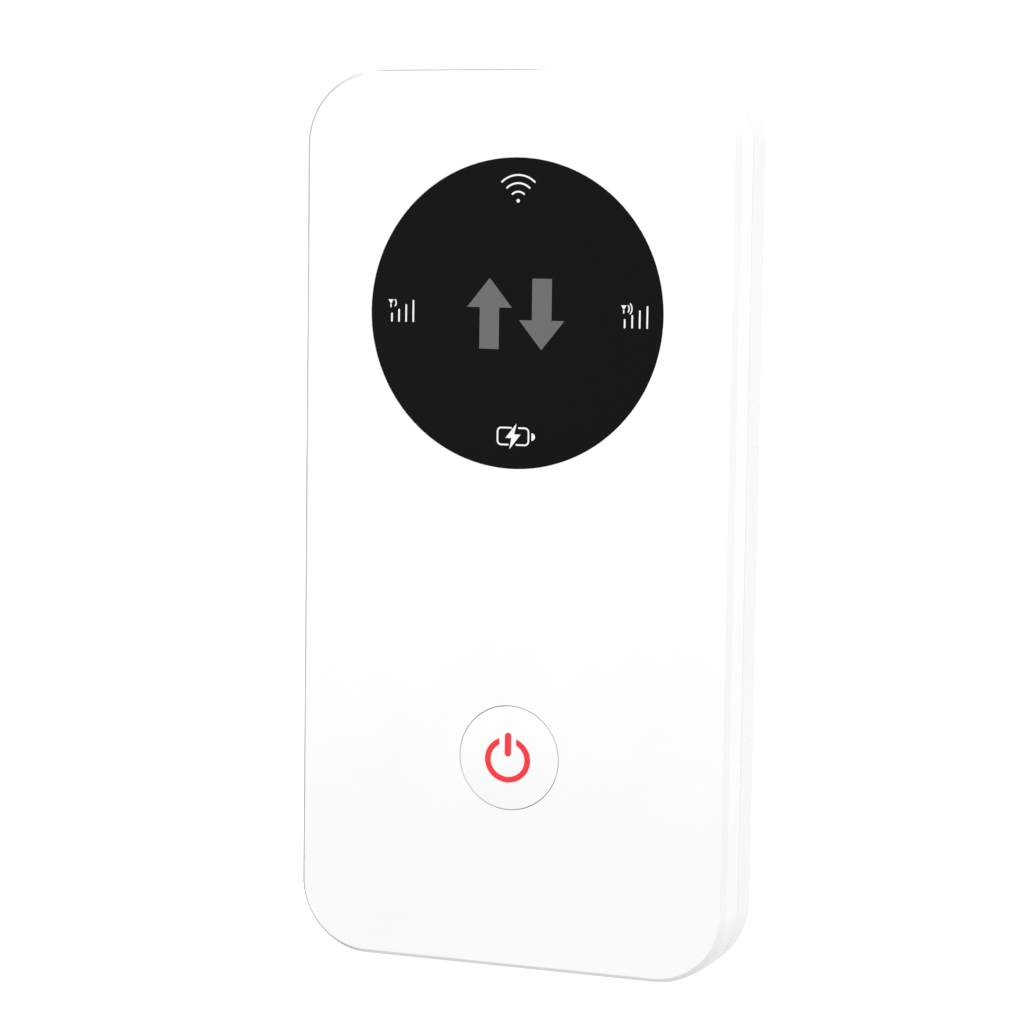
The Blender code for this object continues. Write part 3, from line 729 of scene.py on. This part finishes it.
# ---------------------------------------------------------------- back, lower and upper walls
def feet():
    groove, groove_half, groove_depth, edge = 2.5, 0.15, 0.14, 0.1
    for index in range(1, FOOT_COUNT + 1):
        low, high = node_box(f"foot_{index}")
        x, z = (low.x + high.x) / 2, (low.z + high.z) / 2
        profile = rounded(
            [
                (0.0, low.y, 0),
                (FOOT_RADIUS, low.y, 0.1),
                (FOOT_RADIUS, high.y, 0.28),
                (groove + groove_half + edge, high.y, 0.06),
                (groove + groove_half, high.y - groove_depth, 0.05),
                (groove - groove_half, high.y - groove_depth, 0.05),
                (groove - groove_half - edge, high.y, 0.06),
                (0.0, high.y, 0),
            ],
            steps=4,
        )
        foot = turned(f"rubber_foot_{index}", profile, x, z, sides=96)
        dress(foot, "foot", stands_for=[f"foot_{index}"])


def label():
    low, high = node_box("blank_label")
    half_a, half_b = (high.x - low.x) / 2, (high.z - low.z) / 2
    middle = (low.z + high.z) / 2
    rings = []
    for inset, y in ((0.0, low.y), (0.0, high.y - 0.03), (0.03, high.y)):
        outline = rounded_rectangle(half_a - inset, half_b - inset, 1.5 - inset)
        rings.append(along_y([(a, middle + b) for a, b in outline], y))
    dress(loft("back_label", rings), "label", stands_for=["blank_label"])


def charging_port():
    low, high = node_box("usb_c_shell")
    centre = ((low.x + high.x) / 2, (low.y + high.y) / 2)
    half_x, half_y = (high.x - low.x) / 2, (high.y - low.y) / 2
    sheet = 0.3
    path = rounded(
        [
            (0.0, high.z, 0),
            (0.0, low.z, 0.08),
            (sheet, low.z, 0.08),
            (sheet, high.z - 0.6, 0),
        ],
        steps=4,
    )
    rings = [along_z(stadium(half_x - inset, half_y - inset, 16), z, centre) for inset, z in path]
    dress(loft("port_shell", rings), "shield", stands_for=["usb_c_shell"])
    tongue_low, tongue_high = node_box("usb_c_tongue")
    half_a, half_b = (tongue_high.x - tongue_low.x) / 2, (tongue_high.y - tongue_low.y) / 2
    outline = rounded_rectangle(half_a, half_b, 0.18, 4)
    nose = rounded_rectangle(half_a - 0.12, half_b - 0.12, 0.1, 4)
    rings = [
        along_z(nose, tongue_low.z, centre),
        along_z(outline, tongue_low.z + 0.15, centre),
        along_z(outline, tongue_high.z, centre),
    ]
    dress(loft("port_tongue", rings), "chip", stands_for=["usb_c_tongue"])
    contact_count, contact_pitch, contact_rise = 12, 0.5, 0.02
    z = tongue_low.z + 2.1
    bm = bmesh.new()
    for side in (-1, 1):
        y = centre[1] + side * half_b
        for index in range(contact_count):
            x = (index - (contact_count - 1) / 2) * contact_pitch
            pad = [(x + a, z + b) for a, b in rounded_rectangle(0.12, 1.6, 0.05, 2)]
            add_loft(bm, [along_y(pad, y - contact_rise), along_y(pad, y + contact_rise)])
    dress(to_object("port_contacts", bm), "shield", material="gold")


def card_tray():
    low, high = node_box("sim_tray")
    card_low, card_high = node_box("sim_card")
    centre = ((low.x + high.x) / 2, (low.y + high.y) / 2)
    half_x, half_y = (high.x - low.x) / 2, (high.y - low.y) / 2
    cap_depth = 1.0
    cap_rings = []
    for inset, z in ((0.0, high.z - cap_depth), (0.0, high.z - 0.1), (0.03, high.z - 0.03), (0.1, high.z)):
        cap_rings.append(along_z(stadium(half_x - inset, half_y - inset, 16), z, centre))
    cap = loft("tray_cap", cap_rings)
    eject_radius, eject_depth = 0.45, 0.8
    eject_centre = (centre[0] + 6.2, centre[1])
    eject_floor = high.z - eject_depth
    eject_half = eject_radius + ROUND_SLOT
    eject = slot_cutter("eject_cutter", eject_half, eject_radius, eject_centre, high.z, eject_floor, 0.08)
    cut(cap, [eject])
    dress(cap, "sim_tray", "sim_tray")
    blade_top = high.z - cap_depth + 0.2
    half_blade, half_sheet = 7.1, 0.6
    middle = (blade_top + low.z) / 2
    outline = rounded_rectangle(half_blade, (blade_top - low.z) / 2, 0.8)
    shifted = [(centre[0] + a, middle + b) for a, b in outline]
    blade = loft("tray_blade", [along_y(shifted, centre[1] + side * half_sheet) for side in (-1, 1)])
    card_middle = ((card_low.x + card_high.x) / 2, (card_low.z + card_high.z) / 2)
    half_a, half_b = (card_high.x - card_low.x) / 2, (card_high.z - card_low.z) / 2

    def pocket(margin, y_low, y_high, name):
        shape = rounded_rectangle(half_a + margin, half_b + margin, 0.7)
        placed = [(card_middle[0] + a, card_middle[1] + b) for a, b in shape]
        return loft(name, [along_y(placed, y) for y in (y_low, y_high)])

    tools = [
        pocket(0.1, card_low.y - 0.08, centre[1] + 2.0, "card_pocket_cutter"),
        pocket(-1.2, centre[1] - 2.0, centre[1] + 2.0, "card_window_cutter"),
    ]
    cut(blade, tools)
    dress(blade, "sim_tray", "sim_tray", ["sim_tray"])
    notch = 1.6
    card = [
        (half_a, half_b - notch),
        (half_a - notch, half_b),
        (-half_a, half_b),
        (-half_a, -half_b),
        (half_a, -half_b),
    ]
    placed_card = [(card_middle[0] + a, card_middle[1] + b) for a, b in card]
    card_rings = [along_y(placed_card, y) for y in (card_low.y, card_high.y)]
    dress(loft("nano_card", card_rings), "sim_card", "sim_tray", ["sim_card"])
    column_pitch, row_pitch = 4.8, 2.3
    bm = bmesh.new()
    for column in (-1, 1):
        for row in range(3):
            a, b = column * column_pitch / 2, (row - 1) * row_pitch
            shape = rounded_rectangle(1.9, 0.95, 0.4, 4)
            pad = [(card_middle[0] + a + u, card_middle[1] + b + v) for u, v in shape]
            add_loft(bm, [along_y(pad, card_low.y - 0.015), along_y(pad, card_low.y + 0.02)])
    dress(to_object("card_contacts", bm), "sim_card", "sim_tray", material="gold")


# ---------------------------------------------------------------- carried-over CAD nodes
def dress_cad_nodes():
    slots = {row["node"]: row["material_slot"] for row in frame["record"]["subparts"]}
    for name, obj in frame["nodes"].items():
        obj.data.materials.clear()
        obj.data.materials.append(MATERIALS[slots[name]])


# ---------------------------------------------------------------- studio
def camera():
    data = bpy.data.cameras.new("camera")
    data.lens = CAMERA_LENS
    data.sensor_width = 36.0
    data.clip_start = 0.01
    data.clip_end = 100.0
    obj = bpy.data.objects.new("camera", data)
    bpy.context.scene.collection.objects.link(obj)
    turn = (
        Matrix.Rotation(math.radians(CAMERA_YAW), 4, "Z")
        @ Matrix.Rotation(math.radians(90 + CAMERA_PITCH), 4, "X")
        @ Matrix.Rotation(math.radians(CAMERA_ROLL), 4, "Z")
    )
    obj.matrix_world = Matrix.Translation(Vector(CAMERA_PLACE) * MM) @ turn
    bpy.context.scene.camera = obj


def card(name, centre, target, width, height, shade, in_gloss_only=True, glow=0.0):
    """A flat studio card that faces a point. The camera doesn't see it."""
    bm = bmesh.new()
    bmesh.ops.create_grid(bm, x_segments=1, y_segments=1, size=0.5)
    mesh = bpy.data.meshes.new(name)
    bm.to_mesh(mesh)
    bm.free()
    obj = bpy.data.objects.new(name, mesh)
    bpy.context.scene.collection.objects.link(obj)
    obj.location = centre
    obj.rotation_mode = "QUATERNION"
    obj.rotation_quaternion = (Vector(target) - Vector(centre)).to_track_quat("Z", "Y")
    obj.scale = (width, height, 1.0)
    material = new_material(name, (shade, shade, shade), 0.9, specular=0.0)
    shader_of(material).inputs["Emission Color"].default_value = (1.0, 1.0, 1.0, 1.0)
    shader_of(material).inputs["Emission Strength"].default_value = glow
    mesh.materials.append(material)
    obj.visible_camera = False
    obj.visible_diffuse = not in_gloss_only
    obj.visible_shadow = not in_gloss_only
    return obj


def white_world():
    """White all round, falling to grey for what faces steeply down."""
    world = bpy.data.worlds.new("studio")
    world.cycles.sampling_method = "NONE"
    world.use_nodes = True
    tree = world.node_tree
    sky = tree.nodes["Background"]
    place = tree.nodes.new("ShaderNodeTexCoord")
    split = tree.nodes.new("ShaderNodeSeparateXYZ")
    fall = tree.nodes.new("ShaderNodeMapRange")
    fall.interpolation_type = "SMOOTHSTEP"
    fall.inputs["From Min"].default_value = -0.15
    fall.inputs["From Max"].default_value = -0.85
    fall.inputs["To Min"].default_value = WORLD_LIGHT
    fall.inputs["To Max"].default_value = WORLD_BELOW
    tree.links.new(place.outputs["Generated"], split.inputs["Vector"])
    tree.links.new(split.outputs["Z"], fall.inputs["Value"])
    tree.links.new(fall.outputs["Result"], sky.inputs["Strength"])
    sky.inputs["Color"].default_value = (1.0, 1.0, 1.0, 1.0)
    return world


def white_floor():
    """A floor that the camera sees as plain white and that leaves the light alone."""
    bm = bmesh.new()
    bmesh.ops.create_grid(bm, x_segments=1, y_segments=1, size=30.0)
    mesh = bpy.data.meshes.new("floor")
    bm.to_mesh(mesh)
    bm.free()
    floor = bpy.data.objects.new("floor", mesh)
    bpy.context.scene.collection.objects.link(floor)
    floor.location = (0.0, 0.0, -0.0002)
    pale = new_material("pale_floor", (0.86, 0.86, 0.86), 0.8, specular=0.0)
    shader_of(pale).inputs["Emission Color"].default_value = (1.0, 1.0, 1.0, 1.0)
    shader_of(pale).inputs["Emission Strength"].default_value = 0.6
    mesh.materials.append(pale)
    floor.visible_diffuse = False
    floor.visible_glossy = False
    floor.visible_shadow = False


def studio():
    scene = bpy.context.scene
    scene.world = white_world()
    scene.view_settings.view_transform = "Standard"
    scene.view_settings.look = "None"
    white_floor()
    middle = (0.0, 0.0, 0.07)
    card("flag_left", (-0.736, 0.469, 0.10), (0.0, 0.0, 0.10), 1.34, 1.8, 0.01, in_gloss_only=False)
    card("flag_right", (1.0, 0.02, 0.10), middle, 0.5, 0.6, 0.75, in_gloss_only=False)
    card("glow_right", (0.70, 0.75, 0.10), middle, 0.35, 0.6, 0.5, glow=1.8)
    card("patch_behind", (-0.058, 0.11, -0.005), (-0.058, 0.11, 1.0), 0.146, 0.18, 0.01)
    card("table", (0.03, -0.20, -0.02), (0.03, -0.20, 1.0), 0.44, 0.26, 0.8, in_gloss_only=False, glow=0.17)


camera()
studio()
dress_cad_nodes()
front_cover()
back_shell()
window()
wireless_icon()
signal_icon("signal_icon_left", -21.73, 0.13, 1)
signal_icon("signal_icon_right", 17.07, 0.0, 2)
battery_icon()
centre_icon()
button()
feet()
label()
charging_port()
card_tray()
